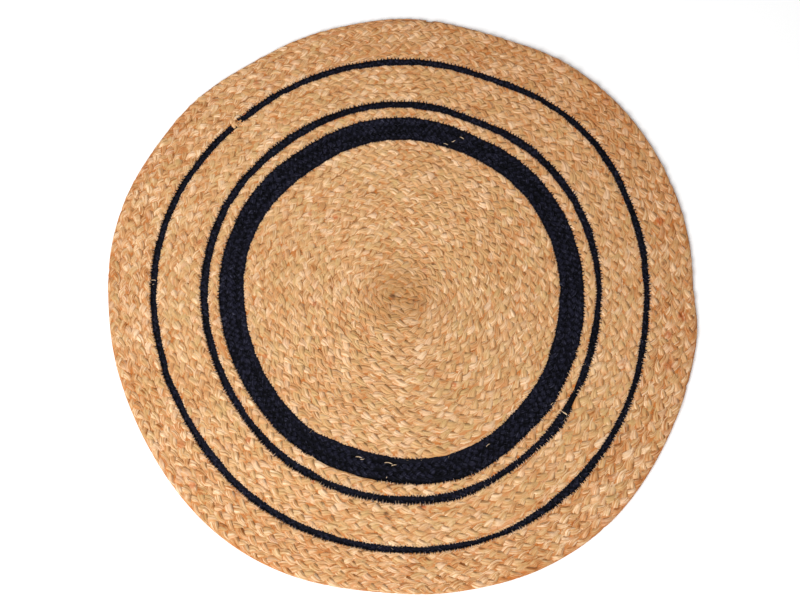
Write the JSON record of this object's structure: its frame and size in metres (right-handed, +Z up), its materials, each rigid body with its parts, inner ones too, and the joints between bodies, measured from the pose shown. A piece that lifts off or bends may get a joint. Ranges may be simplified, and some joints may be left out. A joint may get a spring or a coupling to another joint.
{
  "type": "round braided jute rug",
  "caption": "Flat round rug of three-strand natural jute braid wound in a spiral and sewn edge to edge, with near-black braided rings between the rows.",
  "frame": {"origin": "middle of the rug's footprint, on the floor that it lies on", "axes": "+Z up through the rug's thickness; +X to the right and +Y away from a viewer who stands in front of it, with the opening in the outer ring at about 133 degrees from +X towards +Y"},
  "size_m": [0.899, 0.8956, 0.008],
  "materials": {
    "natural_jute": "matte fibre with a faint silky sheen, undyed",
    "black_jute": "matte fibre, dyed near-black with a trace of navy"
  },
  "bodies": {
    "root": {"jute_centre_coil": "natural_jute", "black_wide_band": "black_jute", "jute_single_row": "natural_jute", "black_inner_ring": "black_jute", "jute_middle_band": "natural_jute", "black_outer_ring": "black_jute", "jute_rim_band": "natural_jute"}
  },
  "joints": []
}
